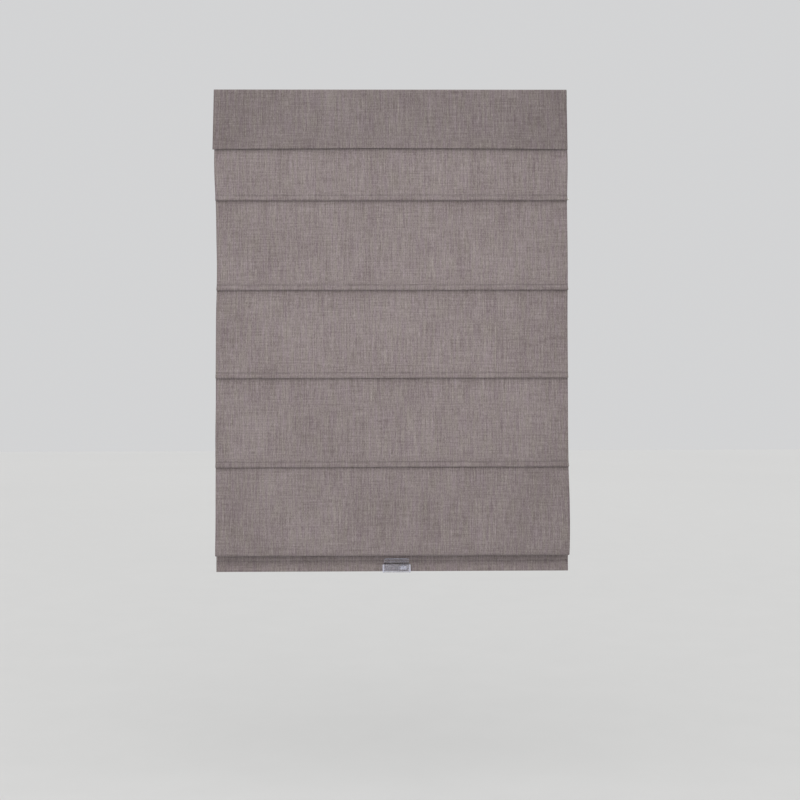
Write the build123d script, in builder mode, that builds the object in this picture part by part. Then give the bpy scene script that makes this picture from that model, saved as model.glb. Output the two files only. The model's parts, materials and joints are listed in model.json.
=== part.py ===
from build123d import *
from math import acos, cos, hypot, pi, radians, sin, sqrt, tan
import os

# A cordless roman blind, drawn part way up, with one loop of cloth gathered above its bottom rail.
# Millimetres. X runs along the blind, -Y faces the room, +Z is up. The origin is the middle of the
# screw holes in the brackets' top plates, on the face that meets the window head.

os.makedirs("parts", exist_ok=True)

# Headrail
headrail_inset = 1.0
headrail_depth = 50.0
headrail_height = 32.0
channel_wall = 0.9
channel_lip = 7.0
channel_bend = 1.6
cap_thickness = 3.0
cap_plug_depth = 8.0
cap_plug_wall = 2.0
cap_corner = 2.0
cap_rounding = 1.0
strip_thickness = 1.6
strip_height = 24.0
strip_inset = 4.0
strip_drop = 5.0

# Mounting brackets
bracket_width = 28.0
bracket_thickness = 1.2
bracket_inset = 77.0
bracket_flange_drop = 28.0
bracket_hook = 4.5
bracket_bend = 0.8
screw_hole_radius = 2.3
top_hole_spacing = 16.0
rear_hole_drop = 16.0

# Cloth
cloth_width = 860.0
cloth_thickness = 1.0
cloth_top_drop = 9.0
tuck_shares = (0.2316, 0.4178, 0.6, 0.7841)
tuck_height = 14.5
seam_rise = 1.2
seam_gap = 0.3
seam_bend = 3.0
panel_bend = 6.0
bend_margin = 0.02

# The gathered loop, the skirt behind it and the hem
fold_rise = 46.4
fold_radius = 5.0
fold_reach = 14.5
loop_top_reach = 1.6
loop_top_bend = 16.0
loop_shoulder_drop = 92.0
loop_shoulder_reach = 7.0
loop_shoulder_bend = 400.0
loop_foot_rise = 26.0
loop_foot_taper = 1.0
loop_foot_bend = 60.0
loop_back_ease = 6.0
loop_back_bend = 20.0
rear_setback = 4.9
rear_ease = 2.0
rear_bend = 4.0
skirt_setback = 9.5
skirt_ease = 30.0
skirt_bend = 60.0
blind_drop = 1180.4
hem_height = 27.0
hem_turn = 5.0
hem_bend = 2.0

# Valance
valance_drop = 149.0
valance_reach = 12.0
valance_flap = 6.0
valance_hem = 22.0
valance_top_bend = 3.0
valance_hang_bend = 80.0
valance_foot_bend = 0.6

# Rods, rings and cords
rod_radius = 2.0
rod_overhang = 1.0
rod_slips = (4.5, 2.5, 0.5, 2.0)
rod_forward = 0.9
rod_chamfer = 0.4
ring_radius = 6.6
ring_wire_radius = 0.9
cord_radius = 0.7
cord_inset = 160.0
cord_setback = 14.6
ring_stack = 16.0
knot_radius = 2.4
knot_overlap = 0.1

# Bottom rail and handle
rail_recess = 7.0
rail_thickness = 5.0
rail_height = 22.0
rail_wall = 1.0
rail_corner = 2.4
tip_length = 3.0
tip_plug_length = 12.0
handle_wall = 2.0
handle_lip_width = 68.0
handle_plate_width = 60.0
handle_lip_height = 21.5
handle_plate_rise = 34.0
handle_leg_rise = 16.0
handle_finger_gap = 8.5
handle_offset = 10.0
handle_bend = 4.5
handle_leg_bend = 1.6
handle_corner = 3.5

# Lift mechanism
shaft_flats = 5.0
shaft_overhang = 26.0
spool_radius = 7.9
spool_flange_radius = 12.0
spool_flange = 1.5
spool_width = 28.0
wound_turns = 8
journal_radius = 4.5
journal_length = 6.0
cradle_wall = 4.0
cradle_base = 1.6
cradle_depth = 30.0
saddle_top = 6.0
saddle_half_width = 8.0
saddle_mouth = 8.1
spout_radius = 2.8
spout_bore_radius = 1.6
spout_drop = 2.0
motor_length = 64.0
motor_wall = 1.3
motor_lid = 1.2
motor_flange = 1.5
motor_corner = 2.0
motor_foot_rounding = 0.8
motor_lid_rounding = 0.5
output_drum_radius = 5.6
storage_drum_radius = 5.6
output_coil = 1.6
storage_coil = 2.7
spring_strip = 0.25
drum_spacing = 17.3
drum_pin_radius = 3.0

# Clearances
slack = 0.3
running = 0.05
spool_play = 0.7
drum_play = 0.2
tip_fit = 0.1

# Lengths, levels and planes that the pieces share
headrail_length = cloth_width - 2 * headrail_inset
valance_width = headrail_length + 2 * cap_thickness
rod_length = cloth_width + 2 * rod_overhang
rail_length = cloth_width - 2 * rail_recess
headrail_top = -bracket_thickness
headrail_bottom = headrail_top - headrail_height
half_depth = headrail_depth / 2
cloth_y = -half_depth - strip_thickness - cloth_thickness / 2
cord_y = cloth_y + cord_setback
cord_x = cloth_width / 2 - cord_inset
shoulder = rod_radius + slack
wrap_radius = shoulder + cloth_thickness / 2
layer_step = cloth_thickness + seam_gap
tuck_edges = [-blind_drop * share for share in tuck_shares]
seams = [edge + tuck_height for edge in tuck_edges]
rod_lift = cloth_thickness + shoulder
rod_y = cloth_y - rod_forward
rear_seam = seams[-1] - ring_stack
rear_rod_z = rear_seam - tuck_height + rod_lift
shaft_y = cord_y + spool_radius + cord_radius
shaft_z = (headrail_top + headrail_bottom) / 2
channel_floor = headrail_bottom + channel_wall
bar_y = cloth_y + skirt_setback + cloth_thickness / 2 + slack + rail_thickness / 2
bar_bottom = -blind_drop + cloth_thickness + slack


def bent_run(points, bends):
    """Straight runs through points, with a tangent arc of the given radius at each inner point."""
    start = points[0]
    for before, corner, after, bend in zip(points, points[1:], points[2:], bends):
        into = Vector(*corner) - Vector(*before)
        out = Vector(*after) - Vector(*corner)
        half_turn = radians(into.get_angle(out)) / 2
        reach = bend * tan(half_turn)
        leave = Vector(*corner) - into.normalized() * reach
        arrive = Vector(*corner) + out.normalized() * reach
        inward = (out.normalized() - into.normalized()).normalized()
        middle = Vector(*corner) + inward * (bend / cos(half_turn) - bend)
        Line(start, leave)
        ThreePointArc(leave, middle, arrive)
        start = arrive
    Line(start, points[-1])


def face_line(corners, shift):
    """One face of the cloth: the corners moved sideways by shift, left positive, and its two ends."""
    legs = []
    for (y0, z0, _), (y1, z1, _) in zip(corners, corners[1:]):
        length = hypot(y1 - y0, z1 - z0)
        legs.append(((y1 - y0) / length, (z1 - z0) / length))
    points = []
    bends = []
    for i, (y, z, bend) in enumerate(corners):
        before = legs[max(i - 1, 0)]
        after = legs[min(i, len(legs) - 1)]
        spread = 1 + before[0] * after[0] + before[1] * after[1]
        points.append((
            y - shift * (before[1] + after[1]) / spread,
            z + shift * (before[0] + after[0]) / spread,
        ))
        turn = before[0] * after[1] - before[1] * after[0]
        bends.append(bend - shift if turn > 0 else bend + shift)
    bent_run(points, bends[1:-1])
    return points[0], points[-1]


def cloth_outline(corners):
    """The closed outline of cloth with its mid thickness along corners, a list of (y, z, bend radius)."""
    left_start, left_end = face_line(corners, cloth_thickness / 2)
    right_start, right_end = face_line(corners, -cloth_thickness / 2)
    Line(left_start, right_start)
    Line(left_end, right_end)


def save(piece, name):
    """Label a finished piece and write it."""
    piece.part.label = name
    export_step(piece.part, f"parts/{name}.step")


def tuck_corners(rod_y, rod_z):
    """The cloth from a seam down the front of the rod in its tuck, round below it and up behind it."""
    turn = wrap_radius - bend_margin
    return [
        (rod_y - wrap_radius, rod_z + shoulder, seam_bend),
        (rod_y - wrap_radius, rod_z - wrap_radius, turn),
        (rod_y + wrap_radius, rod_z - wrap_radius, turn),
        (rod_y + wrap_radius, rod_z + shoulder, seam_bend),
    ]


def seam_turn(y, seam):
    """The cloth up to a seam at y, over it, and back down to the seam one layer further back."""
    turn = layer_step / 2 - bend_margin / 2
    over = seam + seam_rise
    return [
        (y, seam, seam_bend),
        (y, over, turn),
        (y + layer_step, over, turn),
        (y + layer_step, seam, seam_bend),
    ]


# The cloth from the headrail to the last front tuck: each panel leans forward to its seam, wraps
# the rod in its tuck, and starts the next panel behind the tuck.
behind_tuck = rod_y + wrap_radius + layer_step
corners = [(cloth_y, -cloth_top_drop, 0)]
for seam, edge in zip(seams, tuck_edges):
    rod_z = edge + rod_lift
    corners += [(cloth_y, seam, panel_bend)] + tuck_corners(rod_y, rod_z)
    corners += seam_turn(cloth_y + layer_step, seam)
    corners += [(behind_tuck, rod_z + shoulder, panel_bend), (behind_tuck, rod_z, panel_bend)]

# The gathered loop: down the front to the soft fold, and up behind it to the rear seam.
rear_y = cloth_y + rear_setback
rear_rod_y = rear_y + 1.5 * layer_step
rear_front = rear_rod_y - wrap_radius - layer_step
fold_y = cloth_y - fold_reach
fold_z = -blind_drop + fold_rise + cloth_thickness / 2
fold_turn = fold_radius - bend_margin
fold_back_y = fold_y + 2 * fold_radius
loop_foot_z = fold_z + loop_foot_rise
corners += [
    (rear_front - loop_top_reach, rear_rod_z + rear_ease, loop_top_bend),
    (rear_front - loop_shoulder_reach, rear_rod_z - loop_shoulder_drop, loop_shoulder_bend),
    (fold_y, loop_foot_z, loop_foot_bend),
    (fold_y, fold_z, fold_turn),
    (fold_back_y, fold_z, fold_turn),
    (fold_back_y + loop_foot_taper, loop_foot_z, loop_foot_bend),
    (rear_front, rear_rod_z - loop_back_ease, loop_back_bend),
    (rear_front, rear_rod_z + rear_ease, rear_bend),
]

# The rear seam, whose tuck hangs between the loop and the skirt.
corners += seam_turn(rear_y, rear_seam) + tuck_corners(rear_rod_y, rear_rod_z)
corners += seam_turn(rear_y + 2 * layer_step, rear_seam)
corners += [(rear_rod_y + wrap_radius + layer_step, rear_rod_z + shoulder, panel_bend)]

# The skirt and the hem that holds the bottom rail.
skirt_y = cloth_y + skirt_setback
hem_z = -blind_drop + cloth_thickness / 2
hem_back_y = bar_y + rail_thickness / 2 + slack + cloth_thickness / 2
hem_foot_bend = rail_thickness / 2
hem_top = -blind_drop + hem_height
corners += [
    (skirt_y, rear_rod_z - skirt_ease, skirt_bend),
    (skirt_y, hem_z, hem_foot_bend),
    (hem_back_y, hem_z, hem_foot_bend),
    (hem_back_y, bar_bottom + rail_height + slack, hem_bend),
    (skirt_y + layer_step, hem_top, hem_bend),
    (skirt_y + layer_step, hem_top + hem_turn, 0),
]

with BuildPart() as shade_cloth:
    with BuildSketch(Plane.YZ.offset(-cloth_width / 2)):
        with BuildLine():
            cloth_outline(corners)
        make_face()
    extrude(amount=cloth_width)
save(shade_cloth, "shade_cloth")

# Valance: laid over the channel's front lip, hanging forward, with a turned-up hem behind.
valance_y = cloth_y - cloth_thickness - slack
valance_z = headrail_top + cloth_thickness / 2
valance_foot_y = cloth_y - valance_reach
valance_foot_z = -valance_drop + cloth_thickness / 2
valance_slope = (valance_y - valance_foot_y) / (headrail_bottom - valance_foot_z)
hem_step = layer_step * hypot(1, valance_slope)
valance_corners = [
    (-half_depth + valance_flap, valance_z, 0),
    (valance_y, valance_z, valance_top_bend),
    (valance_y, headrail_bottom, valance_hang_bend),
    (valance_foot_y, valance_foot_z, valance_foot_bend),
    (valance_foot_y + hem_step, valance_foot_z, valance_foot_bend),
    (valance_foot_y + hem_step + valance_hem * valance_slope, valance_foot_z + valance_hem, 0),
]
with BuildPart() as valance:
    with BuildSketch(Plane.YZ.offset(-valance_width / 2)):
        with BuildLine():
            cloth_outline(valance_corners)
        make_face()
    extrude(amount=valance_width)
save(valance, "valance")

# Headrail channel: one folded strip with lips turned in at the top and holes for the cord spouts.
with BuildPart() as headrail_channel:
    with BuildSketch(Plane.YZ.offset(-headrail_length / 2)):
        with BuildLine():
            FilletPolyline(
                (-half_depth + channel_lip, headrail_top),
                (-half_depth, headrail_top),
                (-half_depth, headrail_bottom),
                (half_depth, headrail_bottom),
                (half_depth, headrail_top),
                (half_depth - channel_lip, headrail_top),
                radius=channel_bend,
            )
            offset(amount=channel_wall, side=Side.LEFT)
        make_face()
    extrude(amount=headrail_length)
    with Locations((-cord_x, cord_y, headrail_bottom), (cord_x, cord_y, headrail_bottom)):
        Cylinder(spout_radius + running, 4 * channel_wall, mode=Mode.SUBTRACT)
save(headrail_channel, "headrail_channel")

# End caps: a rounded plate that closes the channel, with a hollow plug that fits inside it.
for side, name in ((-1, "end_cap_left"), (1, "end_cap_right")):
    plug_depth = headrail_depth - 2 * channel_wall - 2 * slack
    plug_height = headrail_height - 2 * channel_wall - 2 * slack
    end_plane = Plane((side * headrail_length / 2, 0, shaft_z), x_dir=(0, side, 0), z_dir=(side, 0, 0))
    with BuildPart() as end_cap:
        with BuildSketch(end_plane):
            RectangleRounded(headrail_depth, headrail_height, cap_corner)
        extrude(amount=cap_thickness)
        fillet(end_cap.faces().sort_by(Axis.X)[-1 if side > 0 else 0].edges(), cap_rounding)
        with BuildSketch(end_plane):
            Rectangle(plug_depth, plug_height)
            Rectangle(plug_depth - 2 * cap_plug_wall, plug_height - 2 * cap_plug_wall, mode=Mode.SUBTRACT)
        extrude(amount=-cap_plug_depth)
    save(end_cap, name)

# Hook strip on the channel's front, which the cloth presses onto.
with BuildPart() as hook_strip:
    with BuildSketch(Plane.YZ.offset(-headrail_length / 2 + strip_inset)):
        with Locations((-half_depth - strip_thickness / 2, headrail_top - strip_drop - strip_height / 2)):
            Rectangle(strip_thickness, strip_height)
    extrude(amount=headrail_length - 2 * strip_inset)
save(hook_strip, "hook_strip")

# Mounting brackets: a folded plate that hooks under the channel's front lip and drops behind it.
bracket_mid = bracket_thickness / 2
hook_y = -half_depth + channel_lip + slack + bracket_mid
hook_z = headrail_top - channel_wall - slack / 2 - bracket_mid
flange_y = half_depth + slack + bracket_mid
for side, name in ((-1, "bracket_left"), (1, "bracket_right")):
    bracket_x = side * (headrail_length / 2 - bracket_inset)
    with BuildPart() as bracket:
        with BuildSketch(Plane.YZ.offset(bracket_x - bracket_width / 2)):
            with BuildLine():
                FilletPolyline(
                    (hook_y - bracket_hook, hook_z),
                    (hook_y, hook_z),
                    (hook_y, -bracket_mid),
                    (flange_y, -bracket_mid),
                    (flange_y, -bracket_flange_drop),
                    radius=bracket_bend,
                )
                offset(amount=bracket_mid, kind=Kind.ARC, side=Side.BOTH)
            make_face()
        extrude(amount=bracket_width)
        with Locations((bracket_x, -top_hole_spacing / 2, 0), (bracket_x, top_hole_spacing / 2, 0)):
            Cylinder(screw_hole_radius, 4 * bracket_thickness, mode=Mode.SUBTRACT)
        with Locations(Location((bracket_x, flange_y, -rear_hole_drop), (90, 0, 0))):
            Cylinder(screw_hole_radius, 4 * bracket_thickness, mode=Mode.SUBTRACT)
    save(bracket, name)


def along(x):
    """A plane at x that looks along the shaft, with its origin on the shaft's axis."""
    return Plane((x, shaft_y, shaft_z), x_dir=(0, 1, 0), z_dir=(1, 0, 0))


def lengthwise(y, z):
    """A plane that holds an axis along X at y, z: its own x is along the axis and its y is outward."""
    return Plane((0, y, z), x_dir=(1, 0, 0), z_dir=(0, -1, 0))


# Lift shaft: a hexagonal rod from one spool to the other.
shaft_end = cord_x + shaft_overhang
hex_radius = shaft_flats / 2 / cos(pi / 6)
with BuildPart() as lift_shaft:
    with BuildSketch(along(-shaft_end)):
        RegularPolygon(hex_radius, 6)
    extrude(amount=2 * shaft_end)
save(lift_shaft, "lift_shaft")

# Cord spools, their wound cord, the cradles that carry them, and the straight cords.
half_spool = spool_width / 2
cradle_start = half_spool + spool_flange + spool_play
bore_radius = hex_radius + running
ring_back = cloth_thickness / 2 + slack + ring_radius + ring_wire_radius
front_ring_y = cloth_y + 2 * layer_step + ring_back
rear_ring_y = rear_y + 3 * layer_step + ring_back
knot_shift = sqrt(ring_radius**2 - (rear_ring_y - cord_y) ** 2)
cord_end = rear_seam + knot_radius - knot_overlap
wound_radius = spool_radius + running + 2 * cord_radius
cord_start = shaft_z - sqrt((wound_radius + running) ** 2 - spool_radius**2)
for side, end in ((-1, "left"), (1, "right")):
    x = side * cord_x
    with BuildPart() as spool:
        with BuildSketch(lengthwise(shaft_y, shaft_z)):
            with BuildLine():
                Polyline(
                    (x - cradle_start - journal_length, 0),
                    (x - cradle_start - journal_length, journal_radius),
                    (x - half_spool - spool_flange, journal_radius),
                    (x - half_spool - spool_flange, spool_flange_radius),
                    (x - half_spool, spool_flange_radius),
                    (x - half_spool, spool_radius),
                    (x + half_spool, spool_radius),
                    (x + half_spool, spool_flange_radius),
                    (x + half_spool + spool_flange, spool_flange_radius),
                    (x + half_spool + spool_flange, journal_radius),
                    (x + cradle_start + journal_length, journal_radius),
                    (x + cradle_start + journal_length, 0),
                    close=True,
                )
            make_face()
        revolve(axis=Axis((0, shaft_y, shaft_z), (1, 0, 0)))
        with BuildSketch(along(x - 2 * spool_width)):
            RegularPolygon(bore_radius, 6)
        extrude(amount=4 * spool_width, mode=Mode.SUBTRACT)
    save(spool, f"cord_spool_{end}")

    turn_pitch = 2 * cord_radius
    with BuildPart() as wound_cord:
        with BuildSketch(along(x - cord_radius)):
            Circle(wound_radius)
            Circle(spool_radius + running, mode=Mode.SUBTRACT)
        extrude(amount=turn_pitch * wound_turns)
    save(wound_cord, f"wound_cord_{end}")

    base_z = channel_floor + cradle_base / 2
    saddle_x = cradle_start + cradle_wall / 2
    saddle_foot = channel_floor + cradle_base - shaft_z
    with BuildPart() as cradle:
        with Locations((x, shaft_y, base_z)):
            Box(2 * (cradle_start + cradle_wall), cradle_depth, cradle_base)
        for saddle in (-saddle_x, saddle_x):
            with BuildSketch(along(x + saddle - cradle_wall / 2)):
                with BuildLine():
                    Polyline(
                        (-cradle_depth / 2, saddle_foot),
                        (cradle_depth / 2, saddle_foot),
                        (saddle_half_width, saddle_top),
                        (-saddle_half_width, saddle_top),
                        close=True,
                    )
                make_face()
                Circle(journal_radius + running, mode=Mode.SUBTRACT)
                with Locations((0, saddle_top)):
                    Rectangle(saddle_mouth, 2 * saddle_top, mode=Mode.SUBTRACT)
            extrude(amount=cradle_wall)
        with Locations((x, cord_y, headrail_bottom - spout_drop)):
            Cylinder(spout_radius, channel_wall + spout_drop, align=(Align.CENTER, Align.CENTER, Align.MIN))
        with Locations((x, cord_y, channel_floor)):
            Cylinder(spout_bore_radius, 4 * (cradle_base + spout_drop), mode=Mode.SUBTRACT)
    save(cradle, f"cord_cradle_{end}")

    with BuildPart() as lift_cord:
        with BuildSketch(Plane.XY.offset(cord_end)):
            with Locations((x, cord_y)):
                Circle(cord_radius)
        extrude(amount=cord_start - cord_end)
    save(lift_cord, f"lift_cord_{end}")

# Tuck rods and the rings sewn behind every second seam and the rear seam.
for number, (edge, slip) in enumerate(zip(tuck_edges, rod_slips), 1):
    with BuildPart() as rod:
        with BuildSketch(Plane.YZ.offset(slip - rod_length / 2)):
            with Locations((rod_y, edge + rod_lift)):
                Circle(rod_radius)
        extrude(amount=rod_length)
        chamfer(rod.edges(), rod_chamfer)
    save(rod, f"tuck_rod_{number}")

with BuildPart() as rear_rod:
    with BuildSketch(Plane.YZ.offset(-rod_length / 2)):
        with Locations((rear_rod_y, rear_rod_z)):
            Circle(rod_radius)
    extrude(amount=rod_length)
    chamfer(rear_rod.edges(), rod_chamfer)
save(rear_rod, "rear_rod")

for side, end in ((-1, "left"), (1, "right")):
    x = side * cord_x
    ring_places = {
        f"upper_ring_{end}": (x, front_ring_y, seams[1]),
        f"middle_ring_{end}": (x, front_ring_y, seams[3]),
        f"lower_ring_{end}": (x - side * knot_shift, rear_ring_y, rear_seam),
    }
    for name, place in ring_places.items():
        with BuildPart() as ring:
            with Locations(place):
                Torus(ring_radius, ring_wire_radius)
        save(ring, name)
    with BuildPart() as knot:
        with Locations((x, cord_y, rear_seam)):
            Sphere(knot_radius)
        with Locations(ring_places[f"lower_ring_{end}"]):
            Torus(ring_radius, ring_wire_radius + running, mode=Mode.SUBTRACT)
        with Locations((x, cord_y, cord_end)):
            Cylinder(
                2 * knot_radius,
                2 * knot_radius,
                align=(Align.CENTER, Align.CENTER, Align.MIN),
                mode=Mode.SUBTRACT,
            )
    save(knot, f"cord_knot_{end}")

# Spring motor: tray and lid, the drum on the shaft, the storage drum, and the flat spring.
store_y = shaft_y + drum_spacing
motor_low_y = shaft_y - output_drum_radius - output_coil - motor_flange - motor_wall
motor_high_y = half_depth - channel_wall - slack / 2
motor_top = headrail_top - channel_wall - slack - motor_lid
half_motor = motor_length / 2
with BuildPart() as motor_tray:
    with BuildSketch(Plane.XY.offset(channel_floor)):
        with Locations((0, (motor_low_y + motor_high_y) / 2)):
            RectangleRounded(motor_length, motor_high_y - motor_low_y, motor_corner)
    extrude(amount=motor_top - channel_floor)
    fillet(motor_tray.faces().sort_by(Axis.Z)[0].edges(), motor_foot_rounding)
    offset(amount=-motor_wall, openings=motor_tray.faces().sort_by(Axis.Z)[-1])
    with BuildSketch(along(-motor_length)):
        Circle(journal_radius + running)
        with Locations((drum_spacing, 0)):
            Circle(drum_pin_radius + running)
    extrude(amount=2 * motor_length, mode=Mode.SUBTRACT)
save(motor_tray, "motor_tray")

with BuildPart() as motor_lid_plate:
    with BuildSketch(Plane.XY.offset(motor_top)):
        with Locations((0, (motor_low_y + motor_high_y) / 2)):
            RectangleRounded(motor_length, motor_high_y - motor_low_y, motor_corner)
    extrude(amount=motor_lid)
    fillet(motor_lid_plate.faces().sort_by(Axis.Z)[-1].edges(), motor_lid_rounding)
save(motor_lid_plate, "motor_lid")

inner_half = half_motor - motor_wall - drum_play
spring_half = inner_half - motor_flange - slack
drums = (
    ("output_drum", shaft_y, output_drum_radius, output_coil, journal_radius),
    ("storage_drum", store_y, storage_drum_radius, storage_coil, drum_pin_radius),
)
for name, drum_y, drum_radius, coil, pin in drums:
    with BuildPart() as drum:
        with BuildSketch(lengthwise(drum_y, shaft_z)):
            with BuildLine():
                Polyline(
                    (-half_motor, 0),
                    (-half_motor, pin),
                    (-inner_half, pin),
                    (-inner_half, drum_radius + coil + slack),
                    (-inner_half + motor_flange, drum_radius + coil + slack),
                    (-inner_half + motor_flange, drum_radius),
                    (inner_half - motor_flange, drum_radius),
                    (inner_half - motor_flange, drum_radius + coil + slack),
                    (inner_half, drum_radius + coil + slack),
                    (inner_half, pin),
                    (half_motor, pin),
                    (half_motor, 0),
                    close=True,
                )
            make_face()
        revolve(axis=Axis((0, drum_y, shaft_z), (1, 0, 0)))
        if name == "output_drum":
            with BuildSketch(along(-motor_length)):
                RegularPolygon(bore_radius, 6)
            extrude(amount=2 * motor_length, mode=Mode.SUBTRACT)
    save(drum, name)

output_wrap = output_drum_radius + running + output_coil
storage_wrap = storage_drum_radius + running + storage_coil
tangent = acos((output_wrap + storage_wrap - spring_strip) / drum_spacing)
leave = (cos(tangent) * (output_wrap - spring_strip / 2), sin(tangent) * (output_wrap - spring_strip / 2))
arrive = (
    drum_spacing - cos(tangent) * (storage_wrap - spring_strip / 2),
    -sin(tangent) * (storage_wrap - spring_strip / 2),
)
with BuildPart() as power_spring:
    with BuildSketch(along(-spring_half)):
        Circle(output_wrap)
        with Locations((drum_spacing, 0)):
            Circle(storage_wrap)
        with BuildLine():
            Line(leave, arrive)
            offset(amount=spring_strip / 2, side=Side.BOTH)
        make_face()
        Circle(output_drum_radius + running, mode=Mode.SUBTRACT)
        with Locations((drum_spacing, 0)):
            Circle(storage_drum_radius + running, mode=Mode.SUBTRACT)
    extrude(amount=2 * spring_half)
save(power_spring, "power_spring")

# Bottom rail: a flat oval tube in the hem, with a plug tip at each end.
with BuildPart() as bottom_rail:
    with BuildSketch(Plane.YZ.offset(-rail_length / 2)):
        with Locations((bar_y, bar_bottom + rail_height / 2)):
            RectangleRounded(rail_thickness, rail_height, rail_corner)
            RectangleRounded(
                rail_thickness - 2 * rail_wall,
                rail_height - 2 * rail_wall,
                rail_corner - rail_wall,
                mode=Mode.SUBTRACT,
            )
    extrude(amount=rail_length)
save(bottom_rail, "bottom_rail")

for side, name in ((-1, "rail_tip_left"), (1, "rail_tip_right")):
    tip_plane = Plane(
        (side * rail_length / 2, bar_y, bar_bottom + rail_height / 2),
        x_dir=(0, side, 0),
        z_dir=(side, 0, 0),
    )
    with BuildPart() as tip:
        with BuildSketch(tip_plane):
            RectangleRounded(rail_thickness, rail_height, rail_corner)
        extrude(amount=tip_length)
        with BuildSketch(tip_plane):
            RectangleRounded(
                rail_thickness - 2 * rail_wall - 2 * tip_fit,
                rail_height - 2 * rail_wall - 2 * tip_fit,
                rail_corner - rail_wall - tip_fit,
            )
        extrude(amount=-tip_plug_length)
    save(tip, name)

# Lift handle: one clear moulding that clips over the hem, with a lip in front for the fingers.
handle_floor = -blind_drop - slack - handle_wall / 2
plate_y = skirt_y - cloth_thickness / 2 - slack - handle_wall / 2
lip_y = plate_y - handle_finger_gap - handle_wall
leg_y = hem_back_y + cloth_thickness / 2 + slack + handle_wall / 2
handle_low = handle_floor - handle_wall / 2
lip_height = handle_lip_height + handle_wall / 2
with BuildPart() as finger_lip:
    with BuildSketch(Plane.YZ.offset(handle_offset - handle_lip_width / 2)):
        with BuildLine():
            FilletPolyline(
                (lip_y, handle_low + handle_lip_height),
                (lip_y, handle_floor),
                (plate_y, handle_floor),
                radius=handle_bend,
            )
            offset(amount=handle_wall / 2, kind=Kind.ARC, side=Side.BOTH)
        make_face()
    extrude(amount=handle_lip_width)
    with BuildSketch(Plane.XZ):
        with Locations((handle_offset, handle_low + lip_height / 2)):
            RectangleRounded(handle_lip_width, lip_height, handle_corner)
    extrude(amount=headrail_depth, both=True, mode=Mode.INTERSECT)
with BuildPart() as lift_handle:
    with BuildSketch(Plane.YZ.offset(handle_offset - handle_plate_width / 2)):
        with BuildLine():
            FilletPolyline(
                (plate_y - handle_wall, handle_floor),
                (leg_y, handle_floor),
                (leg_y, handle_low + handle_leg_rise),
                radius=handle_leg_bend,
            )
            offset(amount=handle_wall / 2, kind=Kind.ARC, side=Side.BOTH)
        make_face()
    extrude(amount=handle_plate_width)
    with BuildSketch(Plane.XZ.offset(-plate_y)):
        with Locations((handle_offset, handle_low + handle_plate_rise / 2)):
            RectangleRounded(handle_plate_width, handle_plate_rise, handle_corner)
    extrude(amount=handle_wall / 2, both=True)
    add(finger_lip)
save(lift_handle, "lift_handle")
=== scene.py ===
import json
import math
import random

import bpy
import numpy as np
from mathutils import Matrix, Vector


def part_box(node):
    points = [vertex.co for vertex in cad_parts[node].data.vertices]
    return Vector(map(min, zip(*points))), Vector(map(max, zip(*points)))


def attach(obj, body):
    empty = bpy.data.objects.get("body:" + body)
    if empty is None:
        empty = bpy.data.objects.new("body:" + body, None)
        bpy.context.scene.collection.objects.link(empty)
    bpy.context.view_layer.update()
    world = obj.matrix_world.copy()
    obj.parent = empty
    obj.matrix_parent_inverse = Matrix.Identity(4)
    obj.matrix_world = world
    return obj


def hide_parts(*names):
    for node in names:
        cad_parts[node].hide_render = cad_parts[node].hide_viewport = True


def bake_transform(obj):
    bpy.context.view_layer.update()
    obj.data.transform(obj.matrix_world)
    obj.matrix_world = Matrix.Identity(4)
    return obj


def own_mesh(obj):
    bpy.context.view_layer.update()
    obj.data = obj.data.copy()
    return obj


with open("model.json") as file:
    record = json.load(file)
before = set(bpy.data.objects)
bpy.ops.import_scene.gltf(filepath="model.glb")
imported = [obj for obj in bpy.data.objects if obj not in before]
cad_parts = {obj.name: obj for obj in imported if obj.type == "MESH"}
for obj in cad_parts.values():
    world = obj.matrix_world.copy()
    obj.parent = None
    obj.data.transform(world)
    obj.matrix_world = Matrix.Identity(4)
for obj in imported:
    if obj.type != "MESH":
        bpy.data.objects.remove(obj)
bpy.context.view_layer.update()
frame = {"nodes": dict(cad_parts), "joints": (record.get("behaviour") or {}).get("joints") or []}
scene = bpy.context.scene
nodes = frame["nodes"]

# A cordless roman blind, drawn part way up, dressed on its CAD frame. It faces -Y, +X is to the right.
# Camera, lights and materials are in metres. Cloth, cords and threads are laid out in millimetres,
# as the solids are, and mesh_object makes them in metres.
MM = 0.001

# Camera at the photo's angle: almost square on, a little right of the blind's middle
VIEW_DISTANCE = 3.0
VIEW_YAW = math.radians(0.76)
VIEW_PITCH = math.radians(0.78)
VIEW_ROLL = math.radians(-0.162)
VIEW_AIM = Vector((0.0198, 0.0, -0.7611))
camera = bpy.data.objects.new("camera", bpy.data.cameras.new("camera"))
camera.data.lens = 54.77
camera.data.sensor_width = 36.0
camera.data.clip_end = 60.0
look = Vector((math.sin(VIEW_YAW), math.cos(VIEW_YAW), math.tan(VIEW_PITCH))).normalized()
turn = look.to_track_quat("-Z", "Y").to_matrix().to_4x4() @ Matrix.Rotation(VIEW_ROLL, 4, "Z")
camera.matrix_world = Matrix.Translation(VIEW_AIM - look * VIEW_DISTANCE) @ turn
scene.collection.objects.link(camera)
scene.camera = camera
scene.view_settings.view_transform = "Standard"


# Shader nodes. A value passed between these is a (node, output) pair.
def add(tree, kind, values=None, **settings):
    """A new node. A value that is a (node, output) pair is linked, anything else is set."""
    node = tree.nodes.new(kind)
    for key, value in settings.items():
        setattr(node, key, value)
    for key, value in (values or {}).items():
        if isinstance(value, tuple) and isinstance(value[0], bpy.types.Node):
            tree.links.new(value[0].outputs[value[1]], node.inputs[key])
        else:
            node.inputs[key].default_value = value
    return node


def calc(tree, operation, a, b=0.0):
    return (add(tree, "ShaderNodeMath", {0: a, 1: b}, operation=operation), 0)


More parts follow.
